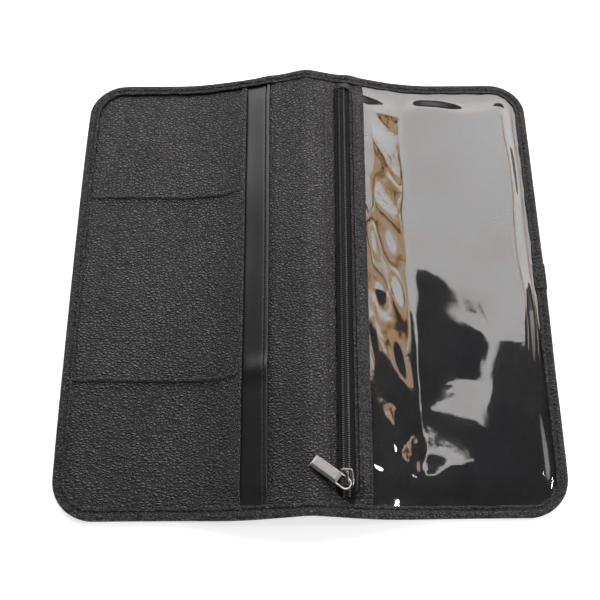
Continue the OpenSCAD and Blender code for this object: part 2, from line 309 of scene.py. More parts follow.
def rounding(distance, radius):
    """0 at a sheet's edge to 1 at radius from it, along a quarter circle."""
    t = np.clip(distance / radius, 0, 1)
    return np.sqrt(1 - (1 - t) ** 2)


def turned_edge(low, high, distance, width, extra, seam=None):
    """Heights of a sheet whose edge is turned under: thicker by extra for width, rounded, sewn at seam."""
    high = high + extra * (1 - ease((distance - width + 0.35) / 0.7))
    if seam is not None:
        high = high - 0.28 * np.exp(-((distance - seam) / 0.32) ** 2)
    middle, half = (low + high) / 2, (high - low) / 2 * rounding(distance, 0.5)
    domed = low + (high - low) * (0.35 + 0.65 * rounding(distance, 1.1))
    return middle - half, np.minimum(middle + half, domed)


# ---------------------------------------------------------------- materials

def add(tree, kind, inputs=None, **settings):
    """A shader node with its settings and inputs, which are values or other nodes' outputs."""
    node = tree.nodes.new(kind)
    for key, value in settings.items():
        setattr(node, key, value)
    for key, value in (inputs or {}).items():
        if isinstance(value, bpy.types.NodeSocket):
            tree.links.new(value, node.inputs[key])
        else:
            node.inputs[key].default_value = value
    return node


def new_material(name):
    """A node material with its tree, its Principled shader and the object's own coordinates."""
    material = bpy.data.materials.new(name)
    material.use_nodes = True
    tree = material.node_tree
    shader = tree.nodes["Principled BSDF"]
    place = add(tree, "ShaderNodeTexCoord").outputs["Object"]
    return material, tree, shader, place


def stretched(tree, place, scale, turn=(0, 0, 0)):
    """Coordinates turned and scaled along their axes."""
    mapping = add(tree, "ShaderNodeMapping", {"Vector": place, "Scale": scale, "Rotation": turn})
    return mapping.outputs["Vector"]


def noise(tree, place, scale, detail=2.0, roughness=0.5):
    """Smooth noise between 0 and 1."""
    node = add(tree, "ShaderNodeTexNoise",
               {"Vector": place, "Scale": scale, "Detail": detail, "Roughness": roughness})
    return node.outputs["Fac"]


def span(tree, value, from_low, from_high, to_low, to_high):
    """A value carried from one range to another."""
    ends = {"From Min": from_low, "From Max": from_high, "To Min": to_low, "To Max": to_high}
    return add(tree, "ShaderNodeMapRange", {"Value": value, **ends}).outputs["Result"]


def maths(tree, operation, a, b):
    """The result of a sum on two values."""
    return add(tree, "ShaderNodeMath", {0: a, 1: b}, operation=operation).outputs["Value"]


def mixed(tree, share, a, b):
    """A colour between a and b; each is a colour or an output."""
    node = add(tree, "ShaderNodeMix", {0: share, 6: a, 7: b}, data_type="RGBA")
    return node.outputs[2]


def scaled(tree, colour, factor):
    """A colour made lighter or darker by a factor."""
    node = add(tree, "ShaderNodeMix", {0: 1.0, 6: colour, 7: factor}, data_type="RGBA", blend_type="MULTIPLY")
    return node.outputs[2]


def bumped(tree, shader, height, depth_mm):
    """Relief as deep as depth_mm where the height goes from 0 to 1."""
    node = add(tree, "ShaderNodeBump", {"Height": height, "Distance": depth_mm * MM, "Strength": 1.0})
    tree.links.new(node.outputs["Normal"], shader.inputs["Normal"])


def dressed(tree, shader, colour, roughness, height, depth_mm, **settings):
    """Gives a shader its colour, its roughness and its bump, and sets other sockets by name."""
    tree.links.new(colour, shader.inputs["Base Color"])
    tree.links.new(roughness, shader.inputs["Roughness"])
    bumped(tree, shader, height, depth_mm)
    for name, value in settings.items():
        shader.inputs[name.replace("_", " ")].default_value = value


def cell_grain(tree, place, cell_mm, width):
    """Rounded cells, 1 on their tops and 0 in the valleys between them, and a tone of each cell's own."""
    setup = {"Vector": place, "Scale": 1000 / cell_mm, "Randomness": 0.95}
    edges = add(tree, "ShaderNodeTexVoronoi", setup, feature="DISTANCE_TO_EDGE").outputs["Distance"]
    own = add(tree, "ShaderNodeTexVoronoi", setup, feature="F1").outputs["Color"]
    tone = add(tree, "ShaderNodeSeparateColor", {"Color": own}).outputs["Red"]
    tops = maths(tree, "POWER", span(tree, edges, 0.02, width, 0, 1), 0.6)
    return tops, tone


def grained(name, tone, valley_shade, cell_mm=1.45, depth_mm=0.32, rough=(0.25, 0.9), specular=0.62, patches=0.25,
            long_way=(0.68, 1.0, 1.0), turn_deg=0, uneven=0.18):
    """Pebble-grained imitation leather: rounded cells with painted shade in the hollows between them, and
    slow changes of tone.
    """
    material, tree, shader, place = new_material(name)
    warp = noise(tree, place, 420, 2)
    drift = add(tree, "ShaderNodeVectorMath", {0: (0.0012, 0.0012, 0.0012), 3: warp}, operation="SCALE")
    moved = add(tree, "ShaderNodeVectorMath", {0: place, 1: drift.outputs["Vector"]}, operation="ADD")
    laid = stretched(tree, moved.outputs["Vector"], long_way, (0, 0, math.radians(turn_deg)))
    pebble, own = cell_grain(tree, laid, cell_mm, 0.4)
    creases, _ = cell_grain(tree, laid, cell_mm / 2.3, 0.3)
    fine = noise(tree, place, 3200, 3, 0.6)
    slow = noise(tree, stretched(tree, place, (1.0, 0.7, 1.0)), 38, 3, 0.55)
    height = maths(tree, "MULTIPLY", pebble, span(tree, own, 0, 1, 1 - uneven, 1 + uneven))
    height = maths(tree, "ADD", height, maths(tree, "MULTIPLY", creases, 0.12))
    height = maths(tree, "ADD", height, maths(tree, "MULTIPLY", fine, 0.2))
    # The colour runs from painted shade in the hollows between the cells to the leather's own tone on the
    # cell tops.
    colour = scaled(tree, mixed(tree, pebble, valley_shade, tone), span(tree, own, 0, 1, 1 - uneven, 1 + uneven))
    colour = scaled(tree, colour, span(tree, slow, 0.3, 0.7, 1 - patches, 1 + patches))
    worn = span(tree, pebble, 0, 1, rough[1], rough[0])
    worn = maths(tree, "ADD", span(tree, slow, 0.3, 0.7, 0.05, -0.05), worn)
    worn = maths(tree, "ADD", worn, span(tree, own, 0, 1, 0.22 * uneven, -0.22 * uneven))
    dressed(tree, shader, colour, worn, height, depth_mm, Specular_IOR_Level=specular)
    return material


def smooth_leather():
    """Smooth imitation leather with a semi-gloss face, faint creases and rubbed patches."""
    material, tree, shader, place = new_material("smooth leather")
    slow = noise(tree, stretched(tree, place, (1.6, 0.5, 1.0)), 30, 3, 0.5)
    fine = noise(tree, place, 1800, 3, 0.6)
    colour = mixed(tree, fine, (0.006, 0.0057, 0.0062, 1), (0.014, 0.0132, 0.0145, 1))
    colour = scaled(tree, colour, span(tree, slow, 0.3, 0.7, 0.75, 1.3))
    height = maths(tree, "ADD", fine, maths(tree, "MULTIPLY", noise(tree, place, 150, 2), 1.5))
    gloss = span(tree, slow, 0.3, 0.7, 0.42, 0.30)
    dressed(tree, shader, colour, gloss, height, 0.05, Specular_IOR_Level=0.42)
    return material


def woven(name, dark, light, thread_mm, depth_mm, turn_deg, rough, specular=0.35):
    """Cloth or cloth-grained strip: two sets of fine ribs that cross, with flecks of lighter thread."""
    material, tree, shader, place = new_material(name)
    turned = stretched(tree, place, (1, 1, 1), (0, 0, math.radians(turn_deg)))
    wander = {"Scale": 1000 / thread_mm * math.pi / 10, "Distortion": 1.6, "Detail": 2.0, "Detail Scale": 1.6}
    ribs = [add(tree, "ShaderNodeTexWave", {"Vector": turned, **wander}, bands_direction=way).outputs["Fac"]
            for way in ("X", "Y")]
    cloth = maths(tree, "MAXIMUM", ribs[0], ribs[1])
    fleck = noise(tree, place, 2300, 2, 0.7)
    height = maths(tree, "ADD", cloth, maths(tree, "MULTIPLY", fleck, 0.7))
    raised = maths(tree, "MULTIPLY", cloth, span(tree, fleck, 0.35, 0.65, 0.15, 1.0))
    slow = noise(tree, place, 60, 2)
    colour = scaled(tree, mixed(tree, raised, dark, light), span(tree, slow, 0.3, 0.7, 0.8, 1.2))
    worn = span(tree, raised, 0, 1, rough + 0.15, rough)
    dressed(tree, shader, colour, worn, height, depth_mm, Specular_IOR_Level=specular)
    return material


def thread_material():
    """Twisted sewing thread, a little lighter than the leather."""
    material, tree, shader, place = new_material("sewing thread")
    twist = add(tree, "ShaderNodeTexWave",
                {"Vector": stretched(tree, place, (1, 1, 1), (0, 0, math.radians(35))), "Scale": 520.0},
                bands_direction="Y").outputs["Fac"]
    colour = mixed(tree, twist, (0.012, 0.012, 0.013, 1), (0.055, 0.055, 0.058, 1))
    dressed(tree, shader, colour, span(tree, twist, 0, 1, 0.75, 0.55), twist, 0.06)
    return material


def coil_material():
    """Black nylon with dusty patches of tone, glossier at the outer bends; its colour is painted dark along
    the chain's middle as shade and kept light at the outer bends as a painted highlight.
    """
    material, tree, shader, place = new_material("zipper coil nylon")
    dust = noise(tree, place, 900, 2)
    along_chain = stretched(tree, place, (1, 1, 1), (0, 0, CHAIN_TURN))
    across = add(tree, "ShaderNodeSeparateXYZ", {"Vector": along_chain}).outputs["X"]
    from_middle = maths(tree, "ABSOLUTE", maths(tree, "SUBTRACT", across, CHAIN_MIDDLE * MM), 0)
    # Painted light: this mask darkens the colour to painted shade along the chain's middle and leaves painted
    # highlights at the outer bends.
    outer = span(tree, from_middle, 0.7 * MM, 1.4 * MM, 0.08, 1.0)
    colour = mixed(tree, dust, (0.09, 0.088, 0.09, 1), (0.26, 0.255, 0.26, 1))
    dressed(tree, shader, scaled(tree, colour, outer), span(tree, outer, 0, 1, 0.6, 0.26), dust, 0.02)
    return material


def metal(name, dark, light, rough, brush_turn_deg):
    """Plated metal: brushed along one way, duller in patches, brighter where it is worn."""
    material, tree, shader, place = new_material(name)
    brushed = stretched(tree, stretched(tree, place, (1, 1, 1), (0, 0, math.radians(brush_turn_deg))),
                        (260, 5200, 900))
    lines = noise(tree, brushed, 1.0, 3, 0.6)
    patch = noise(tree, place, 420, 3, 0.6)
    tone = maths(tree, "ADD", maths(tree, "MULTIPLY", lines, 0.7), maths(tree, "MULTIPLY", patch, 0.3))
    colour = mixed(tree, span(tree, tone, 0.35, 0.65, 0, 1), dark, light)
    worn = span(tree, tone, 0.3, 0.7, rough + 0.10, rough - 0.06)
    dressed(tree, shader, colour, worn, tone, 0.004, Metallic=1.0)
    return material


def clear_vinyl():
    """Clear flexible vinyl: glossy, with a slight haze in patches."""
    material, tree, shader, place = new_material("clear vinyl")
    haze = noise(tree, stretched(tree, place, (1, 0.5, 1)), 45, 3, 0.6)
    tint = mixed(tree, haze, (0.97, 0.97, 0.965, 1), (0.90, 0.90, 0.885, 1))
    dressed(tree, shader, tint, span(tree, haze, 0.35, 0.75, 0.02, 0.05), noise(tree, place, 120, 2), 0.03,
            Transmission_Weight=1.0, IOR=1.5)
    return material


def board_material():
    """Grey-brown fibre board, hidden between the cover and the lining."""
    material, tree, shader, place = new_material("stiffening board")
    fibre = noise(tree, stretched(tree, place, (1, 0.25, 1)), 700, 4, 0.65)
    colour = mixed(tree, fibre, (0.30, 0.26, 0.21, 1), (0.52, 0.47, 0.40, 1))
    dressed(tree, shader, colour, span(tree, fibre, 0, 1, 0.95, 0.8), fibre, 0.08)
    return material


# Each grained look's second colour is painted shade for the hollows of its grain.
LEATHER = grained("grained leather", (0.0092, 0.0070, 0.0106, 1), (0.0001, 0.0001, 0.0002, 1))
COVER = grained("outer cover leather", (0.0095, 0.0073, 0.0108, 1), (0.0002, 0.0002, 0.0003, 1), cell_mm=1.5)
BACKING = grained("window backing", (0.034, 0.033, 0.037, 1), (0.027, 0.026, 0.029, 1), cell_mm=1.2,
                  depth_mm=0.02, rough=(0.7, 0.8), specular=0.2, patches=0.15, uneven=0.06)
BINDING = grained("binding strip", (0.020, 0.0170, 0.0216, 1), (0.0001, 0.0001, 0.0002, 1), cell_mm=1.4,
                  depth_mm=0.40, rough=(0.30, 0.95), patches=0.2, long_way=(0.8, 1.25, 1.0), turn_deg=38,
                  uneven=0.9)
THREAD = thread_material()
SMOOTH = smooth_leather()
TAPE = woven("zipper tape", (0.0015, 0.0015, 0.002, 1), (0.018, 0.0165, 0.018, 1), 0.5, 0.12, 0, 0.7, 0.2)
SLIDER_METAL = metal("slider nickel", (0.05, 0.048, 0.046, 1), (0.26, 0.25, 0.24, 1), 0.26, 90)
PULL_METAL = metal("pull nickel", (0.42, 0.40, 0.39, 1), (0.62, 0.60, 0.585, 1), 0.40, -36)

# A look is a material and the name of its slot.
LEATHER_LOOK, SMOOTH_LOOK = (LEATHER, "grained_leather"), (SMOOTH, "smooth_leather")
COVER_LOOK, BINDING_LOOK = (COVER, "grained_leather"), (BINDING, "binding")
TAPE_LOOK, COIL_LOOK = (TAPE, "zipper_tape"), (coil_material(), "zipper_coil")
SLIDER_LOOK, PULL_LOOK = (SLIDER_METAL, "slider_metal"), (PULL_METAL, "pull_metal")
VINYL_LOOK, BOARD_LOOK = (clear_vinyl(), "clear_vinyl"), (board_material(), "board")


# ---------------------------------------------------------------- cover and lining

def spine_blend(piece):
    """Bakes the piece's placement into its mesh."""
    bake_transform(piece)


def half_columns(side, inset, crowd_at=()):
    """Places across one half, close together at the ridge and at the outer corners."""
    outer = HALF_W - inset
    xs = np.concatenate([np.arange(0, 14, 0.8), np.arange(14, 104, 2.6),
                         outer - (outer - 104) * (1 - np.sin(np.linspace(0, math.pi / 2, 12)))])
    for place in crowd_at:
        xs = np.append(xs, place + np.array([-0.8, -0.3, 0, 0.3, 0.8]))
    xs = np.unique(np.round(xs, 3))
    return xs if side > 0 else -xs[::-1]


def outer_cover(side, half, nodes):
    """The grained outer leather of one half, which runs on to the ridge of the tent."""
    inset = BINDING_T + 0.1
    xs = half_columns(side, inset)
    x, y = panel_grid(xs, inset)
    mesh = closed_sheet(x, y, np.full_like(x, BINDING_T), np.full_like(x, COVER_TOP))
    piece = make_piece("cover_panel_" + half, *mesh, *COVER_LOOK)
    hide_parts(*nodes)
    spine_blend(piece)


PADDING_H, PADDING_X, PADDING_REACH = 0.9, 6.5, 3.0


def lining(side, half, nodes, table):
    """The inner leather. On the right it turns into the plain black backing behind the window."""
    inset = BINDING_T + 0.1
    xs = half_columns(side, inset, [12, 17] if side < 0 else [22, 27, 31])
    x, y = panel_grid(xs, inset)
    top = between(table, x)
    wave = undulation(x, y) * ease((np.abs(x) - 1) / 6)
    if side > 0:
        padding = PADDING_H * np.exp(-((x - PADDING_X) / PADDING_REACH) ** 2)
        wave = (wave + padding * ease((HALF_L - BINDING_W - 2 - np.abs(y)) / 9)) * (1 - ease((x - 9) / 3))
    low = COVER_TOP + 0.02 + (top - LINING_T - COVER_TOP) * 0.98
    mesh = closed_sheet(x, y, low, top + np.maximum(wave, -0.12))
    piece = make_piece("lining_panel_" + half, *mesh, *LEATHER_LOOK)
    if side > 0:
        piece.data.materials.append(BACKING)
        for face in piece.data.polygons:
            face.material_index = int(face.center.x > ZIP_X * MM)
    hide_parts(*nodes)
    spine_blend(piece)


outer_cover(-1, "left_half", ["outer_cover_left", "outer_cover_spine"])
outer_cover(1, "right_half", ["outer_cover_right"])
lining(-1, "left_half", ["lining_left", "lining_spine"], LINING_TOP_LEFT)
lining(1, "right_half", ["lining_right"], LINING_TOP_RIGHT)


def stiffening_board(side, half, node, table):
    """The board between cover and lining, which keeps inside the drawn-in outline."""
    near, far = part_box(node)
    inner = min(abs(near.x), abs(far.x)) / MM
    inset = BINDING_T + 0.6
    xs = half_columns(side, inset, [inner + 0.8])
    xs = xs[np.abs(xs) >= inner]
    x, y = panel_grid(xs, inset)
    room = between(table, x) - LINING_T - COVER_TOP
    low = np.full_like(x, COVER_TOP + 0.01)
    placed("stiffening_board_" + half, closed_sheet(x, y, low, low + 0.96 * room), BOARD_LOOK, half, [node])


stiffening_board(-1, "left_half", "stiffener_board_left", LINING_TOP_LEFT)
stiffening_board(1, "right_half", "stiffener_board_right", LINING_TOP_RIGHT)


# ---------------------------------------------------------------- stitches

STITCH_LENGTH, STITCH_GAP, THREAD_W = 2.1, 0.9, 0.46


def stitch_shape():
    """One stitch along +X, one long and one across, with its ends drawn down into the leather."""
    stations = np.array([-0.5, -0.44, -0.3, 0.0, 0.3, 0.44, 0.5])
    girth = np.array([0.25, 0.7, 0.95, 1.0, 0.95, 0.7, 0.25])
    sink = np.array([-0.55, -0.2, 0.0, 0.06, 0.0, -0.2, -0.55])
    turns = np.linspace(0, 2 * math.pi, 7)[:-1]
    rings = [[(s, 0.5 * g * math.cos(t), d + 0.45 * g * math.sin(t)) for t in turns]
             for s, g, d in zip(stations, girth, sink)]
    return loft(rings)


def stitch_row(line, ups, length=STITCH_LENGTH, gap=STITCH_GAP, width=THREAD_W):
    """Points and faces of stitches along a line of points, each with the surface's upward normal."""
    line, ups = np.asarray(line, float), np.asarray(ups, float)
    run = np.concatenate([[0], np.cumsum(np.linalg.norm(np.diff(line, axis=0), axis=1))])
    count = int(run[-1] // (length + gap))
    middles = (np.arange(count) + 0.5) * run[-1] / count

    def at(distance, values):
        return np.stack([np.interp(distance, run, values[:, k]) for k in range(3)], -1)

    shape, shape_faces = stitch_shape()
    parts = []
    for middle in middles:
        tip, tail = (at(middle + end * length / 2, line) for end in (1, -1))
        along = (tip - tail) / np.linalg.norm(tip - tail)
        up = at(middle, ups)
        up = up - along * (up @ along)
        up /= np.linalg.norm(up)
        across = np.cross(up, along)
        points = (at(middle, line) + shape[:, :1] * along * length
                  + shape[:, 1:2] * across * width + shape[:, 2:] * up * width)
        parts.append((points, shape_faces))
    return joined(parts)


# ---------------------------------------------------------------- left pockets

PRESSED = BINDING_W + 1.0
POCKET_INSET = 1.2


def pressed(y):
    """0 where the binding holds a panel down, 1 away from it."""
    return ease((HALF_L - PRESSED - np.abs(y)) / 9)


def front_gape(x, y):
    """How far the front pocket's mouth stands open."""
    return 0.95 * ease((x + FRONT_EDGE + 15) / 13) * pressed(y)


def rear_gape(x, y):
    """The rear pocket's mouth, with a crease where the front panel's lowest pocket presses on it."""
    crease = 1.1 * np.exp(-((y - LOW_OPEN_Y - 2) / 5) ** 2) * ease((x + FRONT_EDGE + 2) / 5)
    return (0.85 * ease((x + REAR_EDGE + 11) / 9) + crease) * pressed(y)


def pocket_panel(name, nodes, edge, layer_low, gape, hem, extra, seam, look):
    """A pocket panel whose mouth runs along the spine, with its turned hem."""
    xs = half_columns(-1, POCKET_INSET)
    at_mouth = spaced(-edge - 5, -edge, 1.0, [-edge, -edge - hem, -edge - seam], 1.2)
    xs = np.concatenate([xs[xs < -edge - 5], at_mouth])
    x, y = panel_grid(xs, POCKET_INSET)
    wave = undulation(x, y)
    low = layer_low + gape(x, y) + wave
    low, high = turned_edge(low, low + PANEL_T, -edge - x, hem, extra, seam)
    piece = placed(name, closed_sheet(x, y, low, high), look, "left_half", nodes, 60)


def mouth_stitches(name, x_row, layer_low, gape, lift):
    """The row of stitches that holds a mouth's hem."""
    y = np.linspace(-HALF_L + PRESSED, HALF_L - PRESSED, 120)
    x = np.full_like(y, x_row)
    h = layer_low + gape(x, y) + undulation(x, y) + PANEL_T + lift
    placed(name, stitch_row(above(x, y, h), up_at(x)), (THREAD, "grained_leather"), "left_half")


REAR_LOW = FLAT_LINING_TOP
FRONT_LOW = REAR_LOW + PANEL_T
MIDDLE_LOW = FRONT_LOW + PANEL_T
LOW_LOW = MIDDLE_LOW + PANEL_T
REAR_SEAM, FRONT_SEAM = 2.5, 2.1

pocket_panel("rear_pocket_panel", ["rear_slip_pocket", "rear_pocket_edge_fold"], REAR_EDGE, REAR_LOW,
             rear_gape, REAR_HEM - 0.2, 0.45, REAR_SEAM, SMOOTH_LOOK)
pocket_panel("front_pocket_panel", ["front_slip_pocket", "front_pocket_hem"], FRONT_EDGE, FRONT_LOW,
             front_gape, FRONT_HEM + 0.2, 0.75, FRONT_SEAM, LEATHER_LOOK)
mouth_stitches("rear_mouth_stitches", -REAR_EDGE - REAR_SEAM, REAR_LOW, rear_gape, -0.16)
mouth_stitches("front_mouth_stitches", -FRONT_EDGE - FRONT_SEAM, FRONT_LOW, front_gape, 0.58)


def card_pocket(name, node, layer_low, open_y):
    """A card pocket on the front panel, open towards the back, its mouth a little higher at the hem."""
    right = -FRONT_EDGE - FRONT_HEM + 0.5
    xs = half_columns(-1, POCKET_INSET)
    xs = np.append(xs[xs < right - 0.5], right)
    x, y = panel_grid(xs, POCKET_INSET, y_to=open_y, crowd_top=True)
    lift = 1.4 * ease((x - right + 9) / 9) + 0.7 * ease((-x - HALF_W + 12) / 10) + 0.5 * np.sin(x / 26)
    top_row = y.max(1, keepdims=True)
    y = y + lift * ease((y - top_row + 40) / 40)
    distance = y.max(1, keepdims=True) - y
    mouth = 0.75 * np.exp(-(distance / 4) ** 2) * ease((right - x) / 12) * ease((x + HALF_W - 8) / 10)
    low = layer_low + front_gape(x, y) + undulation(x, y) + mouth
    low, high = turned_edge(low, low + PANEL_T, distance, 2.4, 0.5)
    piece = placed(name, closed_sheet(x, y, low, high), LEATHER_LOOK, "left_half", [node], 60)


card_pocket("middle_pocket_panel", "middle_card_pocket", MIDDLE_LOW, MIDDLE_OPEN_Y)
card_pocket("low_pocket_panel", "low_card_pocket", LOW_LOW, LOW_OPEN_Y)


# ---------------------------------------------------------------- edge binding

def perimeter(side):
    """Stations round one half's outline, from the fold line's front to its back: x, y and the way out."""
    corner_x, corner_y = HALF_W - CORNER_R, HALF_L - CORNER_R
    across = np.concatenate([np.arange(0, 14, 1.0), np.arange(14, corner_x, 2.2)])
    along = np.arange(-corner_y, corner_y, 2.4)[1:]
    arc = np.linspace(0, math.pi / 2, 22)
    front = [(x, -HALF_L, 0, -1) for x in across]
    ways_out = [(math.sin(a), -math.cos(a)) for a in arc]
    front_corner = [(corner_x + CORNER_R * nx, -corner_y + CORNER_R * ny, nx, ny) for nx, ny in ways_out]
    outer = [(HALF_W, y, 1, 0) for y in along]
    back_corner = [(x, -y, nx, -ny) for x, y, nx, ny in front_corner[::-1]]
    back = [(x, -y, nx, -ny) for x, y, nx, ny in front[::-1]]
    stations = np.array(front + front_corner + outer + back_corner + back)
    stations[:, [0, 2]] *= side
    return stations


def pleats(stations):
    """Small folds that gather the binding's inner edge at the two outer corners."""
    over_x = np.abs(stations[:, 0]) - (HALF_W - CORNER_R)
    over_y = np.abs(stations[:, 1]) - (HALF_L - CORNER_R)
    in_corner = (over_x > 0) & (over_y > 0)
    return np.where(in_corner, np.sin(np.arctan2(over_x, over_y) * 14) ** 3, 0.0)


def binding_section(top):
    """The folded strip's section: distance in from the outline and height, out round it and back inside."""
    inner = STRIP_FACE
    outside = [(inner, 0.0), (3.0, 0.0), (0.8, 0.0), (0.25, 0.12), (0.0, 0.45),
               (0.0, top - 0.95), (0.12, top - 0.5), (0.45, top - 0.12), (1.1, top + 0.12),
               (1.9, top + 0.18),
               (2.7, top + 0.10), (3.2, top - 0.06), (3.5, top - 0.34), (3.65, top - 0.47),
               (3.95, top - 0.47),
               (4.1, top - 0.28), (4.4, top + 0.02), (4.9, top + 0.14), (5.4, top + 0.12), (5.75, top - 0.02),
               (inner, top - 0.25)]
    inside = [(inner, top - 0.44), (5.0, top - 0.47), (3.0, top - 0.48), (1.0, top - 0.5), (0.52, top - 1.0),
              (0.52, 0.6), (1.0, 0.46), (3.0, 0.44), (inner, 0.44)]
    return np.array(outside + inside)


def carried(stations, depth, height):
    """Points at a depth in from the outline and a height above the base curve, station by station."""
    x = stations[:, 0] - stations[:, 2] * depth
    y = stations[:, 1] - stations[:, 3] * depth
    return above(x, y, height)


STRIP_LIFT = 0.7


def binding_rings(stations, table):
    """The binding's sections. On the right half its front and back rise over the zipper's strips."""
    tops = between(table, stations[:, 0]) + BINDING_T
    tops = tops + (table is STACK_RIGHT) * STRIP_LIFT * np.exp(-((stations[:, 0] - STRIP_X) / 6) ** 4)
    folds = pleats(stations)
    ripple = 0.05 * np.sin(np.arange(len(stations)) * 0.9) + 0.04 * np.sin(np.arange(len(stations)) * 0.37)
    rings = []
    for i, top in enumerate(tops):
        section = binding_section(top)
        inward = ease((section[:, 0] - 2.5) / 4)
        upper = section[:, 1] > top / 2
        section[:, 1] += np.where(upper, inward * 0.16 * folds[i] + (0.4 + 0.6 * inward) * ripple[i], 0)
        section[:, 0] += inward * (0.35 * folds[i] + 3 * ripple[i])
        rings.append(carried(np.repeat(stations[i:i + 1], len(section), 0), section[:, 0], section[:, 1]))
    return rings


def edge_binding(side, half, nodes, table):
    """The folded strip round one half's edge, with a row of stitches on both faces."""
    stations = perimeter(side)
    mesh = loft(binding_rings(stations, table))
    piece = make_piece("binding_strip_" + half, *mesh, *BINDING_LOOK, 50)
    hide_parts(*nodes)
    tops = between(table, stations[:, 0]) + BINDING_T
    upper = stitch_row(carried(stations, 3.8, tops - 0.30), up_at(stations[:, 0]))
    under = stitch_row(carried(stations, 3.8, np.full(len(stations), 0.0)), -up_at(stations[:, 0]))
    row = make_piece("binding_stitches_" + half, *joined([upper, under]), THREAD, "binding")
    spine_blend(piece)
    spine_blend(row)


def overlap_end():
    """The strip's finishing end, which lies over its start at the middle of the right edge."""
    y = np.array([-6, -5.9, -5.6, -4, -2, 0, 2, 4, 6, 8, 8.6, 8.9, 9.0])
    stations = np.stack([np.full_like(y, HALF_W), y, np.ones_like(y), np.zeros_like(y)], -1)
    top = between(STACK_RIGHT, HALF_W) + BINDING_T
    rings = []
    for i, station in enumerate(stations):
        at_end = min(1, min(y[i] - y[0], y[-1] - y[i]) / 0.4)
        proud = 0.14 + 0.3 * at_end
        outside = [(6.3, top + 0.05), (5.0, top + proud), (3.2, top + proud + 0.1), (1.2, top + proud + 0.1),
                   (0.2, top + proud * 0.8), (-proud, top - 0.5), (-proud, 1.2), (-0.14, 0.55)]
        inside = [(0.02, 0.6), (0.02, top - 0.7), (0.5, top - 0.1), (1.2, top + 0.02), (3.2, top),
                  (5.6, top - 0.1)]
        section = np.array(outside + inside)
        rings.append(carried(np.repeat(station[None], len(section), 0), section[:, 0], section[:, 1]))
    placed("binding_strip_overlap", loft(rings), BINDING_LOOK, "right_half", ["edge_binding_overlap"], 50)


edge_binding(-1, "left_half", ["edge_binding_left", "edge_binding_spine_back"], STACK_LEFT)
edge_binding(1, "right_half", ["edge_binding_right", "edge_binding_spine_front"], STACK_RIGHT)
overlap_end()


# ---------------------------------------------------------------- zipper

def slanted(points):
    """Turns points with the zipper's slant, about the tent side's own normal at the slider."""
    pivot = Vector((ZIP_X, SLIDER_Y, float(rise(ZIP_X))))
    normal = Vector((math.sin(TENT), 0, math.cos(TENT)))
    turn = (Matrix.Translation(pivot) @ Matrix.Rotation(-ZIP_SLANT, 4, normal) @ Matrix.Translation(-pivot))
    turn = np.array(turn)
    return np.asarray(points, float) @ turn[:3, :3].T + turn[:3, 3]


def tape_z(x):
    """The line that the right tape and the strips on it follow."""
    return TAPE_TOP - np.maximum(0, x - BEND_X) * math.tan(TENT)


def end_drop(x, y):
    """How far the zipper and its strips bend down to the binding at their two ends."""
    share = ease((x - BEND_X) / (STRIP_X - BEND_X))
    depth, reach = 2.8 + 1.2 * share, 5.0 + 9.0 * share
    return depth * (1 - ease((HALF_L - BINDING_W - 0.6 - np.abs(y)) / reach))


def front_flare(x, y):
    """How far the strips' left side turns aside before they go under the front binding."""
    return -3.8 * ease((-112.5 - y) / 5) * np.clip((STRIP_X + STRIP_W - x) / 8.5, 0, 1) * (x > BEND_X)


def lengthwise():
    """Places along the zipper, closer together where it bends down at its ends."""
    ends = np.arange(104, ZIP_END, 0.8)
    return np.unique(np.concatenate([-ends, ends, np.arange(-104, 104, 2.0), [-ZIP_END, ZIP_END]]))


def zip_strip(name, section, look, node):
    """A strip that runs the length of the zipper. Its section is points of x and z."""
    section = np.asarray(section, float)
    rings = []
    for y in lengthwise():
        drop = end_drop(section[:, 0], y)
        x = section[:, 0] + front_flare(section[:, 0], y)
        rings.append(np.stack([x, np.full(len(section), y), section[:, 1] - drop], -1))
    points, faces = loft(rings)
    placed(name, (slanted(points), faces), look, "right_half", [node], 50)


def strip_section(x0, width, low, thick, crown, grooves=()):
    """Section of a strip on the tape's slope: rounded edges, a crown and sewn grooves."""
    xs = spaced(x0, x0 + width, 0.5, list(grooves) + [x0, x0 + width], 0.6)
    share = np.minimum(rounding(xs - x0, 0.35), rounding(x0 + width - xs, 0.35))
    rounded = crown * (1 - ((xs - x0 - width / 2) / (width / 2)) ** 2)
    dip = sum((0.22 * np.exp(-((xs - g) / 0.28) ** 2) for g in grooves), np.zeros_like(xs))
    top = tape_z(xs) + low + thick / 2 + (thick / 2 + rounded - dip) * share
    bottom = tape_z(xs) + low + thick / 2 - thick / 2 * share
    return np.concatenate([np.stack([xs, bottom], -1), np.stack([xs, top], -1)[-2:0:-1]])


def lining_z(x):
    """The height of the lining's face on the tent's side."""
    return float(rise(x)) + (COVER_TOP + LINING_T) / math.cos(TENT)


def zipper_tapes():
    """The two tapes: flat beside the chain, then down to the lining and on under the strips."""
    wall = 2 * ZIP_X - BEND_X
    left = [(wall - 0.05, lining_z(wall) + 0.12), (wall + 0.42, lining_z(wall + 0.4) + 0.12),
            (wall + 0.42, TAPE_LOW - 0.2), (wall + 0.62, TAPE_LOW), (ZIP_X - 0.25, TAPE_LOW),
            (ZIP_X - 0.25, TAPE_TOP), (wall + 0.45, TAPE_TOP), (wall + 0.12, TAPE_TOP - 0.12),
            (wall - 0.05, TAPE_TOP - 0.5)]
    zip_strip("tape_left", left, TAPE_LOOK, "zipper_tape_left")
    end = FACING_X + 2.8
    right = [(ZIP_X + 0.25, TAPE_LOW), (BEND_X, TAPE_LOW), (end, float(tape_z(end)) - 0.5),
             (end, float(tape_z(end))), (BEND_X + 0.3, float(tape_z(BEND_X + 0.3))),
             (BEND_X - 0.3, TAPE_TOP + 0.01), (ZIP_X + 0.25, TAPE_TOP)]
    zip_strip("tape_right", right, TAPE_LOOK, "zipper_tape_right")


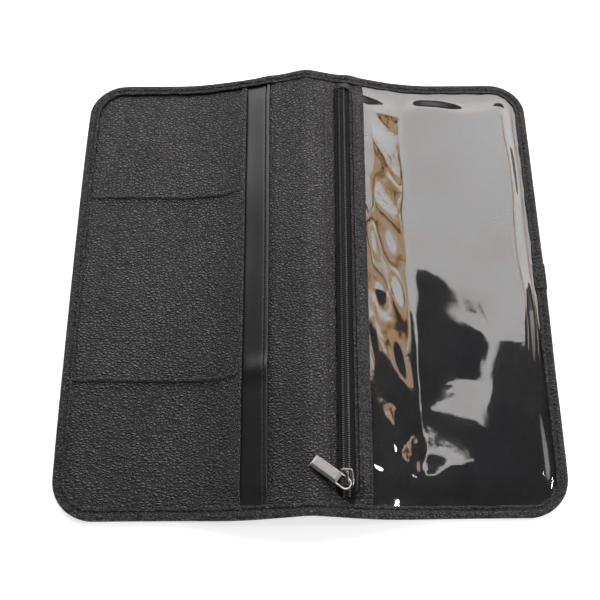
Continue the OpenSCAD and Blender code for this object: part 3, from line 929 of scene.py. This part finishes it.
def coil_row(name, node, way, offset):
    """One coil: a flattened helix of nylon whose turns reach past the middle, between the other coil's."""
    wire_r, per_turn, around = 0.21, 14, 6
    inner, outer, coil_end = -0.3, 1.75, 117.0
    turns = int(2 * coil_end / TOOTH_PITCH)
    angle = np.arange(turns * per_turn) * 2 * math.pi / per_turn
    y = -coil_end + offset + angle / (2 * math.pi) * TOOTH_PITCH
    reach = (inner + outer) / 2 - (outer - inner) / 2 * np.cos(angle)
    x = ZIP_X + way * reach
    middle_z = (TAPE_TOP + COIL_TOP) / 2
    z = middle_z + (COIL_TOP - TAPE_TOP - 2 * wire_r) / 2 * np.sin(angle) - end_drop(x, y)
    path = np.stack([x, y, z], -1)
    along = turned_path(path)
    across = np.cross(along, [0, 1.0, 0])
    across /= np.linalg.norm(across, axis=1)[:, None]
    up = np.cross(across, along)
    ring = np.linspace(0, 2 * math.pi, around + 1)[:-1]
    section = np.stack([wire_r * np.cos(ring), wire_r * np.sin(ring)], -1)
    points, faces = sweep(path, section, across, up)
    placed(name, (slanted(points), faces), COIL_LOOK, "right_half", [node], 80)


def strip_stitches(name, seams, height):
    """Rows of stitches along the zipper's strips, at the given places across."""
    rows = []
    for seam in seams:
        y = lengthwise()
        x = np.full_like(y, seam)
        line = np.stack([x + front_flare(x, y), y, tape_z(x) + height - end_drop(x, y)], -1)
        ups = np.tile([math.sin(TENT), 0, math.cos(TENT)], (len(y), 1))
        rows.append(stitch_row(line, ups, 1.9, 0.6, 0.36))
    points, faces = joined(rows)
    placed(name, (slanted(points), faces), (THREAD, "binding"), "right_half")


END_FOLD_START, END_FOLD_CREASE, END_FOLD_T = 112.9, 114.0, 0.3
END_FOLD_LEFT, END_FOLD_RIGHT = ZIP_X - 2.9, STRIP_X + 1.2


def zipper_end_cover():
    """A fold of binding strip over the zipper's back end."""
    xs = spaced(END_FOLD_LEFT, END_FOLD_RIGHT, 0.45)
    ys = spaced(END_FOLD_START, END_FOLD_END, 0.4)
    x, y = np.meshgrid(xs, ys, indexing="ij")
    middle, half = (END_FOLD_LEFT + END_FOLD_RIGHT) / 2, (END_FOLD_RIGHT - END_FOLD_LEFT) / 2
    across = 1 - np.abs((x - middle) / half) ** 3.2
    fold = 0.5 + 0.28 * np.exp(-((y - END_FOLD_CREASE) / 0.7) ** 2)
    coil_lift = (COIL_TOP - TAPE_TOP) * (1 - ease((x - ZIP_X - 1.8) / 3.2))
    lift = (coil_lift + 0.55 + fold) * across * (0.5 + 0.5 * rounding(END_FOLD_END - y, 3.0))
    top = tape_z(x) - 0.6 * end_drop(x, y) - 0.5 + lift
    points = np.concatenate([np.stack([x, y, z], -1).reshape(-1, 3) for z in (top - END_FOLD_T, top)])
    mesh = (slanted(points), sheet_faces(*x.shape))
    placed("zipper_end_fold", mesh, BINDING_LOOK, "right_half", sharp_deg=60)


STRIP_LOW, STRIP_T = 0.45, 0.8
STRIP_SEAMS = [STRIP_X + 1.5, STRIP_X + STRIP_W - 1.4]

zipper_tapes()
coil_row("coil_left", "zipper_coil_left", -1, 0.1)
coil_row("coil_right", "zipper_coil_right", 1, 0.1 + TOOTH_PITCH / 2)
zip_strip("facing_strip", strip_section(FACING_X, FACING_W, 0.0, 0.6, 0.12), BINDING_LOOK,
          "zipper_facing_strip")
zip_strip("window_edge_strip", strip_section(STRIP_X, STRIP_W, STRIP_LOW, STRIP_T, 0.12, STRIP_SEAMS),
          BINDING_LOOK, "window_binding_strip")
strip_stitches("window_edge_stitches", STRIP_SEAMS, STRIP_LOW + STRIP_T - 0.02)
zipper_end_cover()


# ---------------------------------------------------------------- window

# Soft hills and hollows of the clear sheet: middle x and y, reach in x and y, height.
WINDOW_WAVES = [
    (56, 30, 9, 22, 0.4), (42, 60, 9, 20, 0.4), (38, 20, 7, 16, -0.3), (41, -8, 6, 12, 0.35),
    (40, -36, 8, 15, 0.35), (39, -90, 3, 5, 0.4), (51, -91, 3.5, 5, 0.45), (63, -112, 4, 4, 0.5),
    (34, 84, 6, 10, 0.35), (45, 92, 8, 9, -0.4), (40, -82, 3.5, 9, 0.55), (46, -98, 4.5, 6, 0.55),
    (55, -107, 18, 9, 1.15), (34, -98, 3, 8, -0.3), (60, -72, 5, 6, 0.2), (74, -110, 6, 4.5, 0.35),
]
TAUT_X, TAUT_RISE, TAUT_SLOPE = 32.0, 4.45, math.radians(18.2)
FLAT_HEIGHT, FLAT_SLOPE, BEND_SOFTNESS = 5.4, math.radians(0.6), 0.7
LEVEL_X = 56.0
END_FALL, SIDE_FALL = 14.0, 7.5
FINE_WAVE, SLOPE_WAVE, PUCKER = 0.05, 0.24, 0.25


def window_height(x, y):
    """Height of the clear sheet's underside above the base curve: taut from the strip, then a level sheet."""
    start = WINDOW_X + 1 + np.tan(ZIP_SLANT) * (y - SLIDER_Y)
    taut = rise(TAUT_X) + TAUT_RISE - (np.maximum(x, TAUT_X) - TAUT_X) * math.tan(TAUT_SLOPE)
    level = FLAT_HEIGHT - np.maximum(x - LEVEL_X, 0) * math.tan(FLAT_SLOPE)
    free_z = (taut + level + np.hypot(taut - level, BEND_SOFTNESS)) / 2
    free_z = np.where(x < TAUT_X, rise(x) + TAUT_RISE, free_z)
    held = ease((HALF_L - BINDING_W - 1.6 - np.abs(y)) / (END_FALL + 3 * np.sin(x / 8 + 0.02 * y)))
    inside = ease((HALF_W - BINDING_W - 0.5 - x) / (SIDE_FALL + 1.2 * np.sin(y / 13)))
    waves = sum(height * np.exp(-((x - middle_x) / reach_x) ** 2 - ((y - middle_y) / reach_y) ** 2)
                for middle_x, middle_y, reach_x, reach_y, height in WINDOW_WAVES)
    waves = waves + FINE_WAVE * np.sin(x / 5.5 + y / 9 + 1.0) * np.sin(y / 6.5 - x / 17)
    slope_wave = np.sin(x / 6.5 + y / 15) * np.sin(y / 12 + x / 9)
    waves = waves + SLOPE_WAVE * slope_wave * ease((LEVEL_X - x) / 8)
    puckers = np.sin(x / 3.1 + 0.8 * np.sin(x / 11)) + 0.6 * np.sin(x / 5.3 + 1.2)
    waves = waves + PUCKER * puckers * np.exp(-(HALF_L - BINDING_W - np.abs(y)) / 5)
    free = ease((x - start - 1) / 7) * inside * held
    lifted = np.maximum(free_z - rise(x) - WINDOW_LOW, 0) * held * inside
    return WINDOW_LOW + np.maximum(lifted + waves * free, 0.0)


def clear_window():
    """The clear sheet, from under the strip beside the zipper to the outer binding."""
    inset = BINDING_T + 0.6
    even = np.linspace(0, 1, 100)
    share = 0.6 * (0.5 - 0.5 * np.cos(even * math.pi)) + 0.4 * even
    ys = (HALF_L - inset) * np.sin(np.linspace(-math.pi / 2, math.pi / 2, 190))
    x0 = WINDOW_X + 1 + math.tan(ZIP_SLANT) * (ys - SLIDER_Y)
    past = np.maximum(np.abs(ys) - (HALF_L - CORNER_R), 0)
    x1 = HALF_W - CORNER_R + np.sqrt(np.maximum((CORNER_R - inset) ** 2 - past ** 2, 0))
    x = x0[None, :] + (x1 - x0)[None, :] * share[:, None]
    y = np.broadcast_to(ys[None, :], x.shape).copy()
    low = window_height(x, y)
    mesh = closed_sheet(x, y, low, low + WINDOW_T)
    piece = placed("window_sheet", mesh, VINYL_LOOK, "right_half", ["clear_window"], 60)


clear_window()


# ---------------------------------------------------------------- slider and pull tab

SLIDER_L, SLIDER_W = 9.2, 6.8
TOP_PLATE_LOW, TOP_PLATE_TOP = 18.55, 19.35
STRAP_LOW, STRAP_TOP = 21.35, 22.15
POST_Y, BACK_FOOT_Y = -3.4, 3.0
TAB_LOW = TOP_PLATE_TOP + 0.45
LOOP_T, LOOP_SHIFT = 1.1, 1.0
BAR_START, BAR_L, BAR_W, BAR_T = 4.2, 14.5, 6.0, 1.7
BAR_TURN = math.radians(144)


def at_slider(points):
    """Moves points from the slider's own frame to where it is parked."""
    return slanted(np.asarray(points, float) + np.array([ZIP_X, SLIDER_Y, 0]))


def at_height(outline, z):
    """A flat outline's points with a height."""
    return np.concatenate([outline, np.full((len(outline), 1), z)], 1)


def drawn_in(outline, inset):
    """A closed outline moved inwards by inset."""
    ahead, behind = np.roll(outline, -1, 0), np.roll(outline, 1, 0)
    way = ahead - behind
    way /= np.linalg.norm(way, axis=1)[:, None]
    return outline + np.stack([-way[:, 1], way[:, 0]], -1) * inset


def stacked(outline, levels):
    """Points and faces of a solid from an outline that is drawn in by an inset at each height."""
    return loft([at_height(drawn_in(outline, inset), z) for z, inset in levels])


def smooth_outline(corners):
    """A closed smooth outline near the given corners, counter-clockwise."""
    corners = np.asarray(corners, float)
    t = np.linspace(0, 1, 8, endpoint=False)[:, None]
    starts, ends = (np.roll(corners, 1, 0) + corners) / 2, (corners + np.roll(corners, -1, 0)) / 2
    return np.concatenate([(1 - t) ** 2 * start + 2 * t * (1 - t) * corner + t * t * end
                           for start, corner, end in zip(starts, corners, ends)])


def plate_outline(width):
    """The slider's shield shape: rounded at the front, widest behind its middle."""
    right_side = [(0.45, -1), (0.86, -0.93), (1, -0.5), (1.02, 0.1), (0.84, 0.97), (0.5, 1)]
    half = [(x * width / 2, y * SLIDER_L / 2) for x, y in right_side]
    return smooth_outline(half + [(-x, y) for x, y in half[::-1]])


WALL_FROM, WALL_T = 2.95, 0.55


def slider_shell():
    """The top plate, the narrower bottom plate and a wall along each side that joins them."""
    plate = plate_outline(SLIDER_W)
    top = stacked(plate, [(TOP_PLATE_LOW, 0.1), (TOP_PLATE_LOW + 0.12, 0.0), (TOP_PLATE_TOP - 0.4, 0.0),
                          (TOP_PLATE_TOP - 0.16, 0.12), (TOP_PLATE_TOP - 0.04, 0.42), (TOP_PLATE_TOP, 0.9),
                          (TOP_PLATE_TOP, 1.1)])
    bottom = stacked(plate_outline(SLIDER_W - 0.6), [(15.4, 0.25), (15.55, 0.05), (15.95, 0.0), (16.1, 0.12)])
    parts = [top, bottom]
    for side in (-1, 1):
        wall = np.array([p for p in plate if side * p[0] > WALL_FROM])
        wall = wall[np.argsort(wall[:, 1])]
        ring = np.concatenate([wall, (wall - [side * WALL_T, 0])[::-1]])
        levels = [(17.2, 0.97), (17.35, 1.0), (TOP_PLATE_LOW + 0.1, 1.0)]
        parts.append(loft([at_height(ring * [1, share], z) for z, share in levels]))
    points, faces = joined(parts)
    placed("slider_shell", (at_slider(points), faces), SLIDER_LOOK, "slider", ["slider_body"], 38)


def slider_strap():
    """The bridge that holds the pull tab: a bent strap whose front end widens to a drop shape."""
    r = 1.1
    middle = (STRAP_LOW + STRAP_TOP) / 2
    bend = np.linspace(0, math.pi / 2, 7)
    path = ([(0, BACK_FOOT_Y, z) for z in np.linspace(TOP_PLATE_TOP - 0.1, middle - r, 4)]
            + [(0, BACK_FOOT_Y - r * (1 - math.cos(a)), middle - r + r * math.sin(a)) for a in bend[1:]]
            + [(0, y, middle) for y in np.linspace(BACK_FOOT_Y - r, POST_Y + r, 9)[1:-1]]
            + [(0, POST_Y + r - r * math.sin(a), middle - r + r * math.cos(a)) for a in bend]
            + [(0, POST_Y, z) for z in np.linspace(middle - r, TOP_PLATE_TOP - 0.1, 4)[1:]])
    path = np.array(path)
    along = turned_path(path)
    sides = np.tile([1.0, 0, 0], (len(path), 1))
    ups = np.cross(sides, along)
    widths = 0.74 + 0.16 * np.exp(-((path[:, 1] + 2.2) / 1.1) ** 2) * (path[:, 2] > middle - 0.5)
    ring = np.linspace(0, 2 * math.pi, 17)[:-1]
    lobe = np.stack([np.sign(np.cos(ring)) * np.abs(np.cos(ring)) ** 0.7,
                     np.sign(np.sin(ring)) * np.abs(np.sin(ring)) ** 0.7], -1)
    rings = [p + lobe[:, :1] * w * s + lobe[:, 1:] * 0.4 * u for p, w, s, u in zip(path, widths, sides, ups)]
    points, faces = loft(rings)
    placed("slider_strap", (at_slider(points), faces), SLIDER_LOOK, "slider", ["slider_bridge"], 50)


def pull():
    """A D-shaped loop and a solid bar with a flat top, a bevel and a thin rim."""
    loop_mid, loop_half = 2.55, 0.46
    arc = np.linspace(-math.pi / 2, -3 * math.pi / 2, 25)
    path = ([(x, -loop_mid) for x in np.linspace(BAR_START + 0.4, 0.3, 6)]
            + [(loop_mid * math.cos(a), loop_mid * math.sin(a)) for a in arc]
            + [(x, loop_mid) for x in np.linspace(0.3, BAR_START + 0.4, 6)])
    path = np.array([(x, y, LOOP_T / 2) for x, y in path])
    along = turned_path(path)
    ups = np.tile([0, 0, 1.0], (len(path), 1))
    sides = np.cross(along, ups)
    ring = np.linspace(0, 2 * math.pi, 13)[:-1]
    section = np.stack([loop_half * np.cos(ring), LOOP_T / 2 * np.sin(ring)], -1)
    parts = [sweep(path, section, sides, ups)]
    half_w = BAR_W / 2
    x0, x1 = BAR_START - 0.6, BAR_START + BAR_L
    corner = np.linspace(0, math.pi / 2, 6)
    rings = []
    for z, inset in [(0.0, 0.18), (0.12, 0.02), (0.88, 0.0), (1.04, 0.1), (1.08, 0.3), (1.56, 1.02),
                     (1.65, 1.14), (BAR_T, 1.32), (BAR_T, 1.6)]:
        r = max(0.55 - inset, 0.08)
        tip, heel = x1 - 0.5 * inset - r, x0 + inset + r
        bevelled, plain = half_w - inset - r, 0.3 * inset + r - half_w
        centres = [(tip, bevelled), (heel, bevelled), (heel, plain), (tip, plain)]
        rings.append([(cx + r * math.cos(a + q * math.pi / 2), cy + r * math.sin(a + q * math.pi / 2), z)
                      for q, (cx, cy) in enumerate(centres) for a in corner])
    parts.append(loft(rings))
    points, faces = joined(parts)
    turn = np.array(Matrix.Rotation(BAR_TURN, 3, "Z"))
    points = (points + [LOOP_SHIFT, 0, 0]) @ turn.T + [0, POST_Y, TAB_LOW]
    placed("pull_bar_and_loop", (at_slider(points), faces), PULL_LOOK, "pull", ["pull_tab"], 32)


slider_shell()
slider_strap()
pull()


# ---------------------------------------------------------------- floor, light and camera

def glow(name, strength, tones, blob_scale):
    """A light-giving material with soft blobs. Its tones are pairs of a share of the noise and a colour."""
    material = bpy.data.materials.new(name)
    material.use_nodes = True
    tree = material.node_tree
    tree.nodes.clear()
    place = add(tree, "ShaderNodeTexCoord").outputs["Object"]
    ramp = add(tree, "ShaderNodeValToRGB", {"Fac": noise(tree, place, blob_scale, 2, 0.5)})
    for _ in tones[2:]:
        ramp.color_ramp.elements.new(0.5)
    for stop, (share, colour) in zip(ramp.color_ramp.elements, tones):
        stop.position, stop.color = share, (*colour, 1)
    light = add(tree, "ShaderNodeEmission", {"Color": ramp.outputs["Color"], "Strength": strength})
    output = add(tree, "ShaderNodeOutputMaterial")
    tree.links.new(light.outputs["Emission"], output.inputs["Surface"])
    return material


def facing(place, target):
    """The pose of something at place whose -Z looks at target."""
    place, target = Vector(place), Vector(target)
    return Matrix.Translation(place) @ (target - place).to_track_quat("-Z", "Y").to_matrix().to_4x4()


def light_card(name, pose, corners, material):
    """A staged card with corners in its own plane, which lights the scene and shows in reflections."""
    mesh = bpy.data.meshes.new(name)
    mesh.from_pydata([(x, y, 0) for x, y in corners], [], [list(range(len(corners)))])
    mesh.materials.append(material)
    card = bpy.data.objects.new(name, mesh)
    card.matrix_world = pose
    card.visible_camera = False
    bpy.context.scene.collection.objects.link(card)


def soft_light(name, place, target, width, height, watts, colour):
    """An area light that the camera doesn't see."""
    data = bpy.data.lights.new(name, "AREA")
    data.shape = "RECTANGLE"
    data.size, data.size_y, data.energy, data.color = width, height, watts, colour
    lamp = bpy.data.objects.new(name, data)
    lamp.matrix_world = facing(place, target)
    lamp.visible_camera = False
    bpy.context.scene.collection.objects.link(lamp)


FLOOR_GLOW, FLOOR_REACH, FLOOR_Z = 0.72, 6.0, -0.0003


def studio_floor():
    """A pale paper floor that glows enough to turn out white."""
    mesh = bpy.data.meshes.new("floor")
    corners = [(-1, -1), (1, -1), (1, 1), (-1, 1)]
    mesh.from_pydata([(x * FLOOR_REACH, y * FLOOR_REACH, FLOOR_Z) for x, y in corners], [], [[0, 1, 2, 3]])
    floor = bpy.data.objects.new("floor", mesh)
    material, tree, shader, place = new_material("white paper floor")
    fibre = noise(tree, place, 500, 2)
    paper = mixed(tree, fibre, (0.84, 0.84, 0.84, 1), (0.87, 0.87, 0.87, 1))
    tree.links.new(paper, shader.inputs["Base Color"])
    shader.inputs["Roughness"].default_value = 0.9
    shader.inputs["Specular IOR Level"].default_value = 0.1
    shader.inputs["Emission Color"].default_value = (1, 1, 1, 1)
    shader.inputs["Emission Strength"].default_value = FLOOR_GLOW
    mesh.materials.append(material)
    bpy.context.scene.collection.objects.link(floor)


def studio_world():
    """A dim room that is pale towards the horizon."""
    world = bpy.data.worlds.new("studio")
    bpy.context.scene.world = world
    world.use_nodes = True
    tree = world.node_tree
    direction = add(tree, "ShaderNodeTexCoord").outputs["Generated"]
    height = add(tree, "ShaderNodeSeparateXYZ", {"Vector": direction}).outputs["Z"]
    share = span(tree, height, 0.09, 0.3, 0, 1)
    colour = mixed(tree, share, (1.0, 1.0, 1.0, 1), (0.05, 0.05, 0.055, 1))
    tree.links.new(colour, tree.nodes["Background"].inputs["Color"])


AZIMUTH, ELEVATION, ROLL = math.radians(-0.6), math.radians(68.3), math.radians(0.15)
AIMED_AT, DISTANCE = Vector((-4.5, -10.1, 0)) * MM, 446.2 * MM
BACKWARDS = Vector((math.sin(AZIMUTH) * math.cos(ELEVATION), -math.cos(AZIMUTH) * math.cos(ELEVATION),
                    math.sin(ELEVATION)))
EYE = AIMED_AT + BACKWARDS * DISTANCE


def camera():
    """The photograph's view: nearly straight from the front, steeply down, from close by."""
    right = (-BACKWARDS).cross(Vector((0, 0, 1))).normalized()
    up = right.cross(-BACKWARDS)
    side = right * math.cos(ROLL) + up * math.sin(ROLL)
    top = up * math.cos(ROLL) - right * math.sin(ROLL)
    data = bpy.data.cameras.new("camera")
    data.lens, data.sensor_width = 50, 36
    data.clip_start, data.clip_end = 0.01, 50
    eye = bpy.data.objects.new("camera", data)
    eye.matrix_world = Matrix.Translation(EYE) @ Matrix((side, top, BACKWARDS)).transposed().to_4x4()
    bpy.context.scene.collection.objects.link(eye)
    bpy.context.scene.camera = eye


CARD_Y = 0.9


def mirrored(x, y):
    """The place on the upright plane at CARD_Y that the camera sees in the window's level part at x and y."""
    place = Vector((x, y, FLAT_HEIGHT)) * MM
    level = Vector((math.sin(FLAT_SLOPE), 0, math.cos(FLAT_SLOPE)))
    glance = (place - EYE).reflect(level)
    seen = place + glance * ((CARD_Y - place.y) / glance.y)
    return seen.x, seen.z


bpy.context.scene.view_settings.view_transform = "Standard"
studio_floor()
studio_world()
camera()

GREY_CARD = glow("grey card", 4.8, [(0.35, (0.86, 0.81, 0.78)), (0.65, (0.97, 0.98, 1.0))], 2.6)
TAN_CARD = glow("tan card", 4.8, [(0.385, (0.02, 0.018, 0.016)), (0.41, (0.36, 0.18, 0.07)),
                                  (0.465, (0.76, 0.46, 0.21)), (0.53, (0.66, 0.50, 0.36)),
                                  (0.60, (1.0, 0.95, 0.88))], 10.0)

# The pale card's outline in metres: its left side, its right side, and a tongue between two dark shapes.
# The tongue is given by the places on the window, in millimetres, where its edge is to show.
LEFT_SIDE = [(-0.9, 1.75), (-1.1, 0.35)]
RIGHT_SIDE = [(2.2, 0.35), (2.0, 1.6), (1.4, 2.0), (1.05, 2.42)]
TONGUE_ON_WINDOW = [(102, -36), (98, -49), (95, -61), (92, -73), (88, -82), (78, -78), (70, -77), (64, -85),
                    (64, -68), (70, -62), (81, -60), (87, -52), (90, -40), (90, -31), (80, -16), (68, 3),
                    (56, 4)]
TONGUE = [mirrored(x, y) for x, y in TONGUE_ON_WINDOW]
UPRIGHT = Matrix.Translation((0, CARD_Y, 0)) @ Matrix.Rotation(math.radians(90), 4, "X")
light_card("card_behind", UPRIGHT, LEFT_SIDE + RIGHT_SIDE + TONGUE, GREY_CARD)

ASLANT = facing((0.84, 0.52, 0.88), (0.035, 0, 0)) @ Matrix.Rotation(math.radians(-26), 4, "Z")
light_card("card_right", ASLANT, [(-0.22, -0.14), (0.30, -0.14), (0.30, 0.14), (-0.22, 0.14)], TAN_CARD)

# Name, place, what it faces, width and height in metres, watts and colour.
SOFT_LIGHTS = [
    ("key_behind", (-0.45, 1.15, 1.0), (0, 0, 0), 0.26, 0.26, 20, (0.97, 0.96, 1.0)),
    ("sparkle_right", (1.16, 0.01, 1.16), (0.04, -0.09, 0), 0.19, 0.19, 5.5, (1, 1, 1)),
    ("fill_right", (1.8, 0.1, 0.35), (0, 0, 0), 1.0, 0.5, 2, (1, 1, 1)),
    ("fill_left", (-1.8, 0.3, 0.3), (0, 0, 0), 1.0, 0.4, 1.2, (1, 1, 1)),
]
for light in SOFT_LIGHTS:
    soft_light(*light)

bpy.context.view_layer.update()
